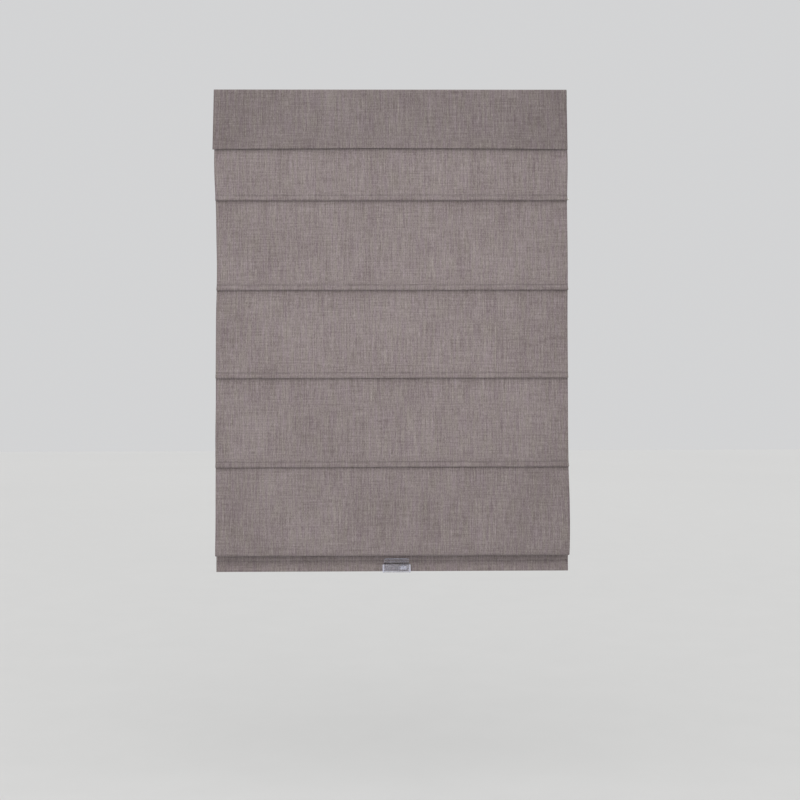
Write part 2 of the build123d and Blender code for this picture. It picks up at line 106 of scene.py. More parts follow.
def weighted(tree, *parts):
    """The sum of (value, weight) pairs."""
    total = None
    for value, weight in parts:
        share = value if weight == 1 else calc(tree, "MULTIPLY", value, weight)
        total = calc(tree, "ADD", total, share) if total else share
    return total


def highest(tree, first, *others):
    for other in others:
        first = calc(tree, "MAXIMUM", first, other)
    return first


def mixed(tree, factor, a, b):
    """Colour a to colour b by factor."""
    colors = [c if isinstance(c[0], bpy.types.Node) else (*c, 1) for c in (a, b)]
    return (add(tree, "ShaderNodeMix", {0: factor, 6: colors[0], 7: colors[1]}, data_type="RGBA"), 2)


def spread(tree, value, low, high, to_low=0.0, to_high=1.0):
    """value stretched so that low to high becomes to_low to to_high."""
    values = {0: value, 1: low, 2: high, 3: to_low, 4: to_high}
    return (add(tree, "ShaderNodeMapRange", values), 0)


def scaled(tree, source, scale, turned=0.0):
    values = {"Vector": source, "Scale": scale, "Rotation": (0, 0, turned)}
    return (add(tree, "ShaderNodeMapping", values), "Vector")


def noise(tree, vector, scale=1.0, detail=2.0, rough=0.5):
    values = {"Vector": vector, "Scale": scale, "Detail": detail, "Roughness": rough}
    return (add(tree, "ShaderNodeTexNoise", values), "Fac")


def threads(tree, uv, scale, direction="X", turned=0.0, **more):
    """Even threads side by side along one direction of the cloth."""
    values = {"Vector": scaled(tree, uv, (1, 1, 1), turned), "Scale": scale, **more}
    return (add(tree, "ShaderNodeTexWave", values, wave_type="BANDS", bands_direction=direction), "Fac")


def bumped(tree, height, distance, strength=1.0):
    values = {"Height": height, "Distance": distance, "Strength": strength}
    return (add(tree, "ShaderNodeBump", values), "Normal")


def flat_uv(tree):
    """The place on the cloth before it was folded, or along a cord, in metres."""
    return (add(tree, "ShaderNodeUVMap", uv_map="flat"), "UV")


def place(tree):
    """The place on the part, in metres."""
    return (add(tree, "ShaderNodeTexCoord"), "Object")


def finish(name, color, rough, **sockets):
    """A material with constant values set on the shader's own sockets."""
    material = bpy.data.materials.new(name)
    material.use_nodes = True
    shader = material.node_tree.nodes["Principled BSDF"]
    shader.inputs["Base Color"].default_value = (*color, 1)
    shader.inputs["Roughness"].default_value = rough
    for key, value in sockets.items():
        shader.inputs[key.replace("_", " ")].default_value = value
    return material, material.node_tree, shader


def join(tree, shader, **links):
    for key, value in links.items():
        tree.links.new(value[0].outputs[value[1]], shader.inputs[key.replace("_", " ")])


# Materials
def linen():
    """Slubbed linen-look weave: uneven yarns both ways, in a warm and a mauve grey."""
    material, tree, shader = finish("linen", (0.27, 0.23, 0.225), 0.92, Specular_IOR_Level=0.18,
                                    Sheen_Weight=0.12, Sheen_Roughness=0.5)
    uv = flat_uv(tree)
    # How often each set of yarns changes per metre, across and down, its detail and its weight
    yarns = [
        ((450, 30), 1.0, 0.86),
        ((500, 8), 1.0, 0.78),
        ((450, 105), 2.0, 0.88),
        ((620, 230), 2.0, 1.15),
        ((16, 300), 3.0, 0.82),
        ((900, 900), 0.0, 0.70),
        ((30, 3), 0.0, 0.14),
        ((12, 8), 1.0, 0.19),
        ((5, 4), 1.0, 0.30),
    ]
    parts = [(noise(tree, scaled(tree, uv, (*size, 1)), detail=detail, rough=0.6), weight)
             for size, detail, weight in yarns]
    warp, weft = parts[0][0], parts[4][0]
    slub = spread(tree, noise(tree, scaled(tree, uv, (260, 14, 1)), detail=1.0), 0.62, 0.78)
    slub_weft = spread(tree, noise(tree, scaled(tree, uv, (24, 260, 1)), detail=1.0), 0.64, 0.8)
    weave = calc(tree, "MULTIPLY",
                 threads(tree, uv, 210.0, Distortion=0.6, Detail=1.0),
                 threads(tree, uv, 190.0, "Y", Distortion=0.6, Detail=1.0))
    tone = weighted(tree, *parts, (slub, 0.16), (slub_weft, 0.10), (weave, 0.08))
    other_share = 0.08
    middle = sum(weight for _, _, weight in yarns) / 2 + other_share
    tone = spread(tree, tone, middle - 0.5, middle + 0.5)
    warm = mixed(tree, tone, (0.180, 0.148, 0.139), (0.410, 0.361, 0.343))
    mauve = mixed(tree, tone, (0.175, 0.137, 0.141), (0.390, 0.330, 0.343))
    hue = spread(tree, noise(tree, scaled(tree, uv, (150, 16, 1))), 0.35, 0.65)
    dyed = mixed(tree, hue, warm, mauve)
    # Painted shade: a point attribute set on the cloth mixes the colour towards black, at most 62 %, for
    # shade at seams, folds and edges.
    shade_color = mixed(tree, 0.62, dyed, (0.0, 0.0, 0.0))
    crease = (add(tree, "ShaderNodeAttribute", attribute_name="crease"), "Fac")
    height = weighted(tree, (warp, 0.9), (weft, 0.7), (weave, 0.35), (slub, 1), (slub_weft, 1))
    join(tree, shader, Base_Color=mixed(tree, crease, dyed, shade_color),
         Roughness=spread(tree, tone, 0.0, 1.0, 0.95, 0.84), Normal=bumped(tree, height, 0.00022, 0.8))
    return material


def lining():
    """Off-white sateen lining: close weave with faint slack and handling marks."""
    material, tree, shader = finish("lining", (0.66, 0.64, 0.60), 0.8, Specular_IOR_Level=0.25,
                                    Sheen_Weight=0.1)
    uv = flat_uv(tree)
    fine = noise(tree, scaled(tree, uv, (1500, 320, 1)))
    cross = noise(tree, scaled(tree, uv, (260, 1400, 1)))
    cloud = noise(tree, scaled(tree, uv, (7, 5, 1)), detail=3.0)
    tone = weighted(tree, (fine, 0.5), (cloud, 0.5))
    slant = threads(tree, uv, 260.0, turned=0.9, Distortion=0.4)
    height = weighted(tree, (fine, 1), (cross, 1), (slant, 0.5))
    join(tree, shader, Base_Color=mixed(tree, tone, (0.575, 0.555, 0.515), (0.735, 0.715, 0.675)),
         Normal=bumped(tree, height, 0.00012, 0.7))
    return material


def cord_braid():
    """White braided cord: two crossing sets of strands, with a little grey painted in the gaps as shade."""
    material, tree, shader = finish("cord_braid", (0.82, 0.81, 0.78), 0.75, Sheen_Weight=0.15)
    uv = flat_uv(tree)
    strands = highest(tree, *(threads(tree, uv, 300.0, turned=angle) for angle in (0.8, -0.8)))
    fuzz = noise(tree, uv, 3000.0)
    join(tree, shader, Base_Color=mixed(tree, strands, (0.55, 0.54, 0.51), (0.86, 0.85, 0.82)),
         Normal=bumped(tree, weighted(tree, (strands, 1), (fuzz, 0.3)), 0.00015))
    return material


def plain(name, dark, light, rough, scale, bump, metal=0.0, grain=(1, 1, 1), wear=0.0, **sockets):
    """A hard surface: mottled colour, uneven gloss and a fine grain, with edges paler by wear."""
    material, tree, shader = finish(name, light, rough, Metallic=metal, **sockets)
    where = place(tree)
    grains = noise(tree, scaled(tree, where, grain), scale, 4.0, 0.6)
    cloud = noise(tree, where, scale * 0.02, 3.0, 0.55)
    tone = weighted(tree, (grains, 0.45), (cloud, 0.55))
    color = mixed(tree, spread(tree, tone, 0.3, 0.7), dark, light)
    if wear:
        bright = tuple(min(1.0, c * 1.25) for c in light)
        edge = (add(tree, "ShaderNodeNewGeometry"), "Pointiness")
        color = mixed(tree, spread(tree, edge, 0.52, 0.58, 0.0, wear), color, bright)
    join(tree, shader, Base_Color=color,
         Roughness=spread(tree, tone, 0.3, 0.7, rough * 0.85, min(rough * 1.2, 1.0)),
         Normal=bumped(tree, grains, bump))
    return material


def clear_plastic():
    """Clear, faintly lavender moulding, with highlights painted at its ends, rim and ledge.

    It has a highlight painted as a pale patch on its lip, and shade painted as a dark line where
    the lip's top shows through.
    """
    material, tree, shader = finish("clear_plastic", (0.78, 0.79, 0.90), 0.06, Specular_IOR_Level=0.7,
                                    Coat_Weight=0.5, Coat_Roughness=0.03)
    where = place(tree)
    axes = add(tree, "ShaderNodeSeparateXYZ", {0: where})
    low, high = [[round(v, 4) for v in corner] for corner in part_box("lift_handle")]
    middle, foot, top = (low[0] + high[0]) / 2, low[2], high[2]

    def away(axis, at):
        return calc(tree, "ABSOLUTE", calc(tree, "SUBTRACT", (axes, axis), at))

    def band(axis, at, full, gone, strength=1.0):
        """strength within full of a place along an axis, fading to nothing at gone."""
        return spread(tree, away(axis, at), full, gone, strength, 0.0)

    flow = noise(tree, scaled(tree, where, (1, 1, 2.5)), 60.0)
    scuff = noise(tree, scaled(tree, where, (1, 1, 3)), 420.0, 3.0)
    # Painted highlights: the pale, less clear ends, rim and ledge, and a pale patch on the lip. Painted
    # shade: a dark line across the lip's top.
    ends = spread(tree, away("X", middle), 0.0285, 0.0325, 0.0, 0.62)
    rim = band("Z", top - 0.0005, 0.0006, 0.0017, 0.42)
    ledge = band("Z", top - 0.0076, 0.0005, 0.0014, 0.15)
    lip_top_shade = band("Z", foot + 0.0221, 0.0009, 0.0021)
    painted_highlight = calc(tree, "MULTIPLY", band("X", middle + 0.017, 0.004, 0.011),
                  band("Z", foot + 0.0122, 0.002, 0.0055))
    haze_and_glints = weighted(tree, (spread(tree, flow, 0.35, 0.65, 0.03, 0.08), 1), (painted_highlight, 0.26),
                    (spread(tree, scuff, 0.66, 0.8, 0.0, 0.03), 1))
    haze_and_glints = highest(tree, haze_and_glints, ledge, ends, rim, calc(tree, "MULTIPLY", lip_top_shade, 0.26))
    glare = (add(tree, "ShaderNodeFresnel", {"IOR": 1.45}), 0)
    pale = mixed(tree, flow, (0.66, 0.67, 0.80), (0.80, 0.81, 0.92))
    join(tree, shader, Base_Color=mixed(tree, lip_top_shade, pale, (0.06, 0.055, 0.065)),
         Alpha=weighted(tree, (haze_and_glints, 1), (glare, 0.45)),
         Roughness=spread(tree, scuff, 0.4, 0.75, 0.04, 0.14), Normal=bumped(tree, flow, 0.0001, 0.1))
    return material


def hooks():
    """Hook tape: rows of tiny loops cut open, on a woven ground."""
    material, tree, shader = finish("hooks", (0.70, 0.70, 0.68), 0.7)
    values = {"Vector": place(tree), "Scale": 900.0, "Randomness": 0.35}
    cells = (add(tree, "ShaderNodeTexVoronoi", values), "Distance")
    color = mixed(tree, spread(tree, cells, 0.1, 0.6), (0.80, 0.80, 0.78), (0.45, 0.45, 0.44))
    join(tree, shader, Base_Color=color, Normal=bumped(tree, cells, 0.0006))
    return material


LINEN, LINING, BRAID = linen(), lining(), cord_braid()
THREAD = plain("thread", (0.22, 0.185, 0.18), (0.36, 0.315, 0.305), 0.7, 2500.0, 0.00005,
               Sheen_Weight=0.2)
PAINT = plain("headrail_paint", (0.74, 0.74, 0.72), (0.82, 0.82, 0.80), 0.42, 900.0, 0.00003,
              wear=0.35)
PLASTIC = plain("white_plastic", (0.70, 0.70, 0.68), (0.80, 0.80, 0.78), 0.38, 1500.0, 0.00002,
                wear=0.2)
ZINC = plain("bracket_steel", (0.50, 0.51, 0.52), (0.66, 0.67, 0.68), 0.36, 260.0, 0.00003,
             metal=1.0, wear=0.4)
STEEL = plain("bare_steel", (0.42, 0.42, 0.43), (0.60, 0.60, 0.61), 0.3, 900.0, 0.00003,
              metal=1.0, grain=(0.05, 1, 1))
FIBRE = plain("rod_fibre", (0.62, 0.62, 0.58), (0.78, 0.78, 0.74), 0.45, 1800.0, 0.00004,
              grain=(0.02, 1, 1))
RING = plain("ring_plastic", (0.72, 0.73, 0.74), (0.84, 0.85, 0.86), 0.25, 800.0, 0.00001)
RAIL = plain("rail_aluminium", (0.62, 0.63, 0.64), (0.74, 0.75, 0.76), 0.34, 700.0, 0.00002,
             metal=1.0, grain=(0.03, 1, 1))
CLEAR, HOOKS = clear_plastic(), hooks()

SIDES = ((-1, "left"), (1, "right"))
PAIRS = {
    PLASTIC: ["end_cap", "cord_cradle", "cord_spool", "rail_tip"],
    ZINC: ["bracket"],
    RING: ["upper_ring", "middle_ring", "lower_ring"],
}
SINGLES = {
    PAINT: ["headrail_channel"],
    PLASTIC: ["motor_tray", "motor_lid", "output_drum", "storage_drum"],
    STEEL: ["lift_shaft", "power_spring"],
    FIBRE: ["tuck_rod_1", "tuck_rod_2", "tuck_rod_3", "tuck_rod_4", "rear_rod"],
    RAIL: ["bottom_rail"],
    CLEAR: ["lift_handle"],
    HOOKS: ["hook_strip"],
}


def dress(name, material):
    """Give a CAD node its material."""
    node = nodes[name]
    if not node.data.materials:
        node.data.materials.append(material)
    for one in node.material_slots:
        one.material = material


for material, names in SINGLES.items():
    for name in names:
        dress(name, material)
for material, names in PAIRS.items():
    for name in names:
        for _, side_name in SIDES:
            dress(f"{name}_{side_name}", material)

# The handle's sharp edges are eased, as a moulding's are
softened = nodes["lift_handle"].modifiers.new("softened", "BEVEL")
softened.width = 0.0005
softened.segments = 2
softened.limit_method = "ANGLE"
softened.angle_limit = math.radians(40)


# Mesh helpers, in millimetres
def mesh_object(name, points, faces, materials, picks=None, uvs=None, sharp=50.0):
    """A mesh piece. uvs gives each point's place on the flat cloth, picks each face's material."""
    mesh = bpy.data.meshes.new(name)
    mesh.from_pydata((np.asarray(points, float) * MM).tolist(), [], faces)
    for material in materials:
        mesh.materials.append(material)
    if picks is not None:
        mesh.polygons.foreach_set("material_index", picks)
    if uvs is not None:
        layer = mesh.uv_layers.new(name="flat")
        corner = np.zeros(len(mesh.loops), np.int32)
        mesh.loops.foreach_get("vertex_index", corner)
        layer.data.foreach_set("uv", (np.asarray(uvs, float) * MM)[corner].ravel())
    mesh.polygons.foreach_set("use_smooth", [True] * len(mesh.polygons))
    mesh.set_sharp_from_angle(angle=math.radians(sharp))
    mesh.validate()
    obj = bpy.data.objects.new(name, mesh)
    scene.collection.objects.link(obj)
    return obj


def hoop_faces(base, hoops, sides, closed=False):
    """Faces that join hoops of points into a tube, capped at its ends or closed on itself."""
    faces = []
    for k in range(hoops if closed else hoops - 1):
        here, there = base + k * sides, base + (k + 1) % hoops * sides
        for q in range(sides):
            after = (q + 1) % sides
            faces.append((here + q, here + after, there + after, there + q))
    if not closed:
        last = base + (hoops - 1) * sides
        faces.append(tuple(base + q for q in range(sides))[::-1])
        faces.append(tuple(last + q for q in range(sides)))
    return faces


def box_mm(node):
    """A node's lowest and highest corners, to a tenth of a millimetre."""
    return [[round(v / MM, 1) for v in corner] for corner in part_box(node)]


def middle_mm(node):
    """The middle of a node's box, to a tenth of a millimetre."""
    return [round((a + b) / 2 / MM, 1) for a, b in zip(*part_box(node))]


# The sheet's path is a list of corners, (y, z, bend radius). Points follow it at a step of length on
# runs and of angle on arcs. Rows are kept from them, further apart with distance from a fine height,
# and each bend by ROW_BEND costs a row more.
RUN_STEP = 0.4
ARC_STEP = 0.08
FINEST_ROW = 0.5
COARSEST_ROW = 6.5
ROW_GROWTH = 0.45
ROW_BEND = 0.3
FAR_OFF = 99.0


def trace(corners):
    """Close points along straight runs and arcs through corners: y, z and direction."""
    rows = []
    flat = [np.array(c[:2]) for c in corners]
    start = flat[0]
    for before, corner, after, (_, _, bend) in zip(flat, flat[1:], flat[2:], corners[1:-1]):
        into = (corner - before) / np.linalg.norm(corner - before)
        out = (after - corner) / np.linalg.norm(after - corner)
        angle = math.atan2(into[0] * out[1] - into[1] * out[0], float(into @ out))
        reach = bend * math.tan(abs(angle) / 2)
        leave = corner - into * reach
        count = max(2, int(np.linalg.norm(leave - start) / RUN_STEP))
        rows += [(*(start + (leave - start) * k / count), *into) for k in range(count)]
        middle = leave + bend * math.copysign(1.0, angle) * np.array((-into[1], into[0]))
        ray = leave - middle
        count = max(2, int(abs(angle) / ARC_STEP))
        for k in range(count):
            c, s = math.cos(angle * k / count), math.sin(angle * k / count)
            rows.append((middle[0] + c * ray[0] - s * ray[1], middle[1] + s * ray[0] + c * ray[1],
                         c * into[0] - s * into[1], s * into[0] + c * into[1]))
        start = corner + out * reach
    last = flat[-1]
    way = (last - start) / max(np.linalg.norm(last - start), 1e-9)
    count = max(2, int(np.linalg.norm(last - start) / RUN_STEP))
    rows += [(*(start + (last - start) * k / count), *way) for k in range(count + 1)]
    return np.array(rows)


def thinned(rows, fine):
    """The rows worth keeping, close together on bends and near the fine heights, and the run to each."""
    step = np.linalg.norm(np.diff(rows[:, :2], axis=0), axis=1)
    run = np.concatenate([[0], np.cumsum(step)])
    here, there = rows[:-1], rows[1:]
    bend = np.abs(np.arctan2(
        here[:, 2] * there[:, 3] - here[:, 3] * there[:, 2], (here[:, 2:] * there[:, 2:]).sum(1)))
    near = np.full(len(step), FAR_OFF)
    if fine:
        near = np.min([np.abs(here[:, 1] - z) for z in fine], axis=0)
    cost = step / np.clip(FINEST_ROW + near * ROW_GROWTH, FINEST_ROW, COARSEST_ROW) + bend / ROW_BEND
    total = np.concatenate([[0], np.cumsum(cost)])
    want = np.linspace(0, total[-1], max(8, int(total[-1])))
    keep = sorted({int(np.searchsorted(total, w)) for w in want[:-1]} | {len(rows) - 1})
    return rows[keep], run[keep]


# Columns across the sheet, from -1 at the left edge to 1 at the right, close together at the side hems
HEM_EDGE, HEM_START = 0.955, 0.94
COLUMNS = np.concatenate([
    np.linspace(-1, -HEM_EDGE, 9)[:-1],
    np.linspace(-HEM_EDGE, -HEM_START, 5)[:-1],
    np.linspace(-HEM_START, HEM_START, 171)[:-1],
    np.linspace(HEM_START, HEM_EDGE, 5)[:-1],
    np.linspace(HEM_EDGE, 1, 9),
])


def wave(x, z, seed):
    """A slow, low swell across the cloth, between about -1 and 1."""
    total = np.zeros(np.broadcast(x, z).shape)
    draw = random.Random(seed)
    for _ in range(6):
        along, down = draw.uniform(4, 22), draw.uniform(1, 9)
        total = total + math.pow(0.8, along / 6) * np.sin(
            x / 1000 * along * 2 + z / 1000 * down * 3 + draw.uniform(0, 6.28))
    return total / 3


# How the side edges depart from straight, for the left (-1) and right (1) side, outward positive.
# A bulge is its height, its spread and how far out it reaches.
EDGE_SEED = {-1: 6, 1: 5}
EDGE_OUT = {-1: 0.0, 1: 0.9}
BULGES = {
    -1: [(-460, 110, -2.6), (-175, 70, 2.2)],
    1: [(-185, 60, 2.2), (-1020, 95, 1.8), (-1150, 45, -1.4)],
}
VALANCE_OUT = {-1: 1.8, 1: -1.6}
VALANCE_FLARE = {-1: 2.6, 1: 1.2}
VALANCE_DROP = 149


def edge_shift(z, side):
    """How far the shade's cut edge wanders out at height z."""
    draw = random.Random(EDGE_SEED[side])
    total = np.zeros_like(z)
    for _ in range(5):
        total = total + draw.uniform(0.1, 0.4) * np.sin(z / draw.uniform(25, 130) + draw.uniform(0, 6.28))
    total = total + EDGE_OUT[side]
    for height, width, reach in BULGES[side]:
        total = total + reach * np.exp(-((z - height) / width) ** 2)
    return total


def valance_edge(z, side):
    """The valance hangs a little to the left and flares towards its foot."""
    return VALANCE_OUT[side] + VALANCE_FLARE[side] * np.clip(-z / VALANCE_DROP, 0, 1)


# How the cloth answers to its seams, hems and edges. The swell fades out at the ends of a length and
# near calm heights. A dent runs along each line of stitches, with shade painted along it and a
# slightly darker band of painted shade below the seam, and puckers above it. The side hems are
# thicker. Shade is painted at the side edges and across a share of the width to each side, more to
# the right.
HALF_THICK = 0.5
DOWNWARD = -0.8
SWELL_FADE = 40
CALM_REACH = 45
STITCH_DROP = 1.0
DENT, DENT_UP, DENT_DOWN, DENT_SHADE = 0.8, 1.0, 3.0, 0.36
BAND_DROP, BAND_SPREAD, BAND_SHADE = 7.0, 5.0, 0.14
PUCKER, PUCKER_UP, PUCKER_START = 0.10, 9, 1.5
SIDE_HEM, HEM_THICK = 22.0, 0.22
EDGE_DARK, EDGE_DARK_WIDTH = 0.3, 2.5
RIGHT_DARK, RIGHT_FROM = 0.15, 0.4
LEFT_DARK, LEFT_FROM = 0.05, 0.6


def seam_marks(rows, seams, half, seed):
    """How deep the face is drawn in at each point, and how much shade is painted on it there."""
    z, dz = rows[:, 1], rows[:, 3]
    falling = dz < DOWNWARD
    front = falling & (np.arange(len(z)) <= int(np.argmin(z)))
    dented = np.zeros((len(rows), len(COLUMNS)))
    dark = np.zeros_like(dented)
    for seam in seams:
        over = z - (seam - STITCH_DROP)
        dent = np.exp(-(over / np.where(over > 0, DENT_UP, DENT_DOWN)) ** 2) * front
        dented += dent[:, None] * DENT
        uneven = 0.85 + 0.3 * wave(COLUMNS[None] * half * 5, 0 * z[:, None], seed + 3)
        dark += dent[:, None] * DENT_SHADE * np.clip(uneven, 0.4, 1.3)
        band = np.exp(-((z - (seam - BAND_DROP)) / BAND_SPREAD) ** 2) * front
        dark += band[:, None] * BAND_SHADE
        pucker = np.exp(-np.abs(z - seam) / PUCKER_UP) * (1 - np.exp(-((z - seam) / PUCKER_START) ** 2))
        wander = 1 + wave(COLUMNS[None] * half * 9, 0 * z[:, None], seed + 7)
        dented += (pucker * falling)[:, None] * PUCKER * wander
    return dented, dark


def sheet_faces(run, half, turned):
    """Faces of the sheet's front, its back and its four edges, and each one's material.

    0 is linen and 1 is lining. Side hems are linen on both sides. Where turned is set, the whole back
    is linen, and past that run the front is lining.
    """
    rows, across = len(run), len(COLUMNS)
    side = rows * across
    faces, picks = [], []
    for i in range(rows - 1):
        for j in range(across - 1):
            a = i * across + j
            lined = 0 if abs(COLUMNS[j] + COLUMNS[j + 1]) * half / 2 > half - SIDE_HEM else 1
            faces.append((a, a + across, a + across + 1, a + 1))
            picks.append(lined if run[i] > turned else 0)
            faces.append((side + a, side + a + 1, side + a + across + 1, side + a + across))
            picks.append(lined if turned == math.inf else 0)
        left = i * across
        right = left + across - 1
        for a, b in ((left, left + across), (right + across, right)):
            faces.append((a, a + side, b + side, b))
            picks.append(0)
    for j in range(across - 1):
        faces.append((j, j + 1, side + j + 1, side + j))
        k = (rows - 1) * across + j
        faces.append((k + 1, k, side + k, side + k + 1))
        picks += [0, 0]
    return faces, picks


def side_shade(half):
    """How much shade is painted across the cloth's width: at its side edges, and more towards the right."""
    shade = EDGE_DARK * np.clip(1 - (1 - np.abs(COLUMNS)) * half / EDGE_DARK_WIDTH, 0, 1)
    right = np.clip((COLUMNS - RIGHT_FROM) / (1 - RIGHT_FROM), 0, 1) ** 1.5
    left = np.clip((-LEFT_FROM - COLUMNS) / (1 - LEFT_FROM), 0, 1)
    return shade + RIGHT_DARK * right + LEFT_DARK * left


def cloth(name, corners, half, fine, seams, calm, swell, seed, stands_for,
          before=0.0, edge=edge_shift, shaded=(0.0, 0.0), arch=0.0, turned=math.inf):
    """One length of the sheet along corners, and how much cloth has been used at its end.

    It has close rows at the fine heights and is drawn in at its seams. It swells by up to about
    swell, except near the calm heights. shaded is how much shade is painted into its colour at its
    two ends, arch how much its foot rises in the middle. Past the run turned, its face is on the
    side that comes to the front when the loop is let out.
    """
    rows, run = thinned(trace(corners), fine)
    length = run[-1]
    y, z, dy, dz = rows.T
    free = np.clip(np.minimum(run, length - run) / SWELL_FADE, 0, 1) * np.clip(
        np.min([np.abs(z - s) for s in calm], axis=0) / CALM_REACH, 0, 1)
    free = free * free * (3 - 2 * free)
    shift = swell * free[:, None] * wave(COLUMNS[None] * half, z[:, None], seed)
    dented, dark = seam_marks(rows, seams, half, seed)
    widths = [half + edge(z, side)[:, None] for side in (-1, 1)]
    x = COLUMNS[None] * np.where(COLUMNS[None] > 0, widths[1], widths[0])
    hemmed = np.clip(np.abs(COLUMNS) * half - (half - SIDE_HEM), 0, 1) * HEM_THICK
    hang = z[:, None] + arch * np.clip(z / z.min(), 0, 1)[:, None] * (1 - COLUMNS[None] ** 2)
    sides = []
    # The front is on the right of the path's direction, the back on its left
    for sign, extra in ((-1, -dented), (1, hemmed[None])):
        off = sign * (HALF_THICK + extra) + shift
        sides.append(np.stack([x, y[:, None] - dz[:, None] * off, hang + dy[:, None] * off], axis=-1))
    size = (len(rows), len(COLUMNS))
    u = np.broadcast_to(COLUMNS[None] * half + half, size)
    v = np.broadcast_to(-(before + run)[:, None], size)
    faces, picks = sheet_faces(run, half, turned)
    obj = mesh_object(name, np.concatenate([s.reshape(-1, 3) for s in sides]), faces, [LINEN, LINING],
                      picks, np.concatenate([np.stack([u, v], -1).reshape(-1, 2)] * 2))
    # Shade painted into the colour: along the seams and below them on the front, and on both faces towards
    # the shaded ends and across the width.
    painted_shading = np.stack([dark, np.zeros_like(dark)])
    painted_shading += np.interp(run, [0, length], shaded)[:, None]
    painted_shading += side_shade(half)
    layer = obj.data.attributes.new("crease", "FLOAT", "POINT")
    layer.data.foreach_set("value", painted_shading.ravel().astype(np.float32))
    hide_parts(stands_for)
    return obj, before + length


def blend_between(obj):
    """Bake a piece's transform into its mesh."""
    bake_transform(obj)


# The sheet's levels and planes, from the frame and the same sizes as the solids have
SLACK = 0.3
BEND_MARGIN = 0.02
STEP = 2 * HALF_THICK + SLACK
ROD_RADIUS = 2.0
SHOULDER = ROD_RADIUS + SLACK
WRAP = SHOULDER + HALF_THICK
ROD_LIFT = SHOULDER + 2 * HALF_THICK
TUCK_HEIGHT = 14.5
SEAM_RISE = 1.2
SEAM_TURN = (STEP - BEND_MARGIN) / 2
SEAM_BEND = 3.0
PANEL_BEND = 6.0
RING_STACK = 16.0
REAR_SETBACK = 4.9
cloth_low, cloth_high = box_mm("shade_cloth")
CLOTH_HALF = cloth_high[0]
CLOTH_TOP = cloth_high[2]
FOOT = cloth_low[2]
FRONT_Y = box_mm("hook_strip")[0][1] - HALF_THICK
RODS = [middle_mm(f"tuck_rod_{k}") for k in (1, 2, 3, 4)]
ROD_Y = RODS[0][1]
BEHIND = ROD_Y + WRAP + STEP
ROD_Z = [rod[2] for rod in RODS]
SEAMS = [round(z - ROD_LIFT + TUCK_HEIGHT, 1) for z in ROD_Z]
REAR_SEAM = round(SEAMS[-1] - RING_STACK, 1)
REAR_ROD_Z = REAR_SEAM - TUCK_HEIGHT + ROD_LIFT
REAR_Y = FRONT_Y + REAR_SETBACK
REAR_ROD_Y = REAR_Y + 1.5 * STEP
REAR_FRONT = REAR_ROD_Y - WRAP - STEP


def tuck(y, rod_z):
    """Down the front of a tuck's rod, round below it and up behind it."""
    turn = WRAP - BEND_MARGIN
    return [(y - WRAP, rod_z + SHOULDER, SEAM_BEND), (y - WRAP, rod_z - WRAP, turn),
            (y + WRAP, rod_z - WRAP, turn), (y + WRAP, rod_z + SHOULDER, SEAM_BEND)]


def to_top(y, seam):
    """Up to the middle of the turn over a seam, where one length of the sheet ends."""
    top = seam + SEAM_RISE
    return [(y, seam, SEAM_BEND), (y, top, SEAM_TURN), (y + STEP / 2, top, 0)]


def from_top(y, seam):
    """Down from the middle of the turn over a seam, where the next length starts."""
    top = seam + SEAM_RISE
    return [(y - STEP / 2, top, 0), (y, top, SEAM_TURN), (y, seam, SEAM_BEND)]


def over(y, seam):
    """Up to a seam, over it, and down one layer further back."""
    return to_top(y, seam)[:2] + from_top(y + STEP, seam)[1:]


def below_tuck(rod_z):
    """The start of the cloth that hangs from behind a tuck."""
    return [(BEHIND, rod_z + SHOULDER, PANEL_BEND), (BEHIND, rod_z, PANEL_BEND)]


# The gathered loop: down the front to the soft fold, and up behind it to the rear seam
FOLD_RISE, FOLD_RADIUS, FOLD_REACH = 40.4, 5.0, 14.5
LOOP_TOP_REACH, LOOP_TOP_BEND = 1.6, 16.0
LOOP_SHOULDER_REACH, LOOP_SHOULDER_DROP, LOOP_SHOULDER_BEND = 7.0, 92.0, 400.0
LOOP_FOOT_RISE, LOOP_FOOT_TAPER, LOOP_FOOT_BEND = 26.0, 1.0, 60.0
LOOP_BACK_EASE, LOOP_BACK_BEND = 6.0, 20.0
LOOP_TURNED = 9.0
REAR_EASE, REAR_BEND = 2.0, 4.0
FOLD_Y = FRONT_Y - FOLD_REACH
FOLD_Z = round(FOOT + FOLD_RISE + HALF_THICK, 1)
FOLD_TURN = FOLD_RADIUS - BEND_MARGIN
FOLD_MIDDLE = (FOLD_Y + FOLD_RADIUS, FOLD_Z, 0)
FOLD_BACK_Y = FOLD_Y + 2 * FOLD_RADIUS
LOOP_FOOT_Z = FOLD_Z + LOOP_FOOT_RISE
REAR_TOP_Z = REAR_ROD_Z + REAR_EASE
loop_front = [
    (REAR_FRONT - LOOP_TOP_REACH, REAR_TOP_Z, LOOP_TOP_BEND),
    (REAR_FRONT - LOOP_SHOULDER_REACH, REAR_ROD_Z - LOOP_SHOULDER_DROP, LOOP_SHOULDER_BEND),
    (FOLD_Y, LOOP_FOOT_Z, LOOP_FOOT_BEND),
    (FOLD_Y, FOLD_Z, FOLD_TURN),
    FOLD_MIDDLE,
]
loop_back = [
    FOLD_MIDDLE,
    (FOLD_BACK_Y, FOLD_Z, FOLD_TURN),
    (FOLD_BACK_Y + LOOP_FOOT_TAPER, LOOP_FOOT_Z, LOOP_FOOT_BEND),
    (REAR_FRONT, REAR_ROD_Z - LOOP_BACK_EASE, LOOP_BACK_BEND),
    (REAR_FRONT, REAR_TOP_Z, REAR_BEND),
    *to_top(REAR_Y, REAR_SEAM),
]

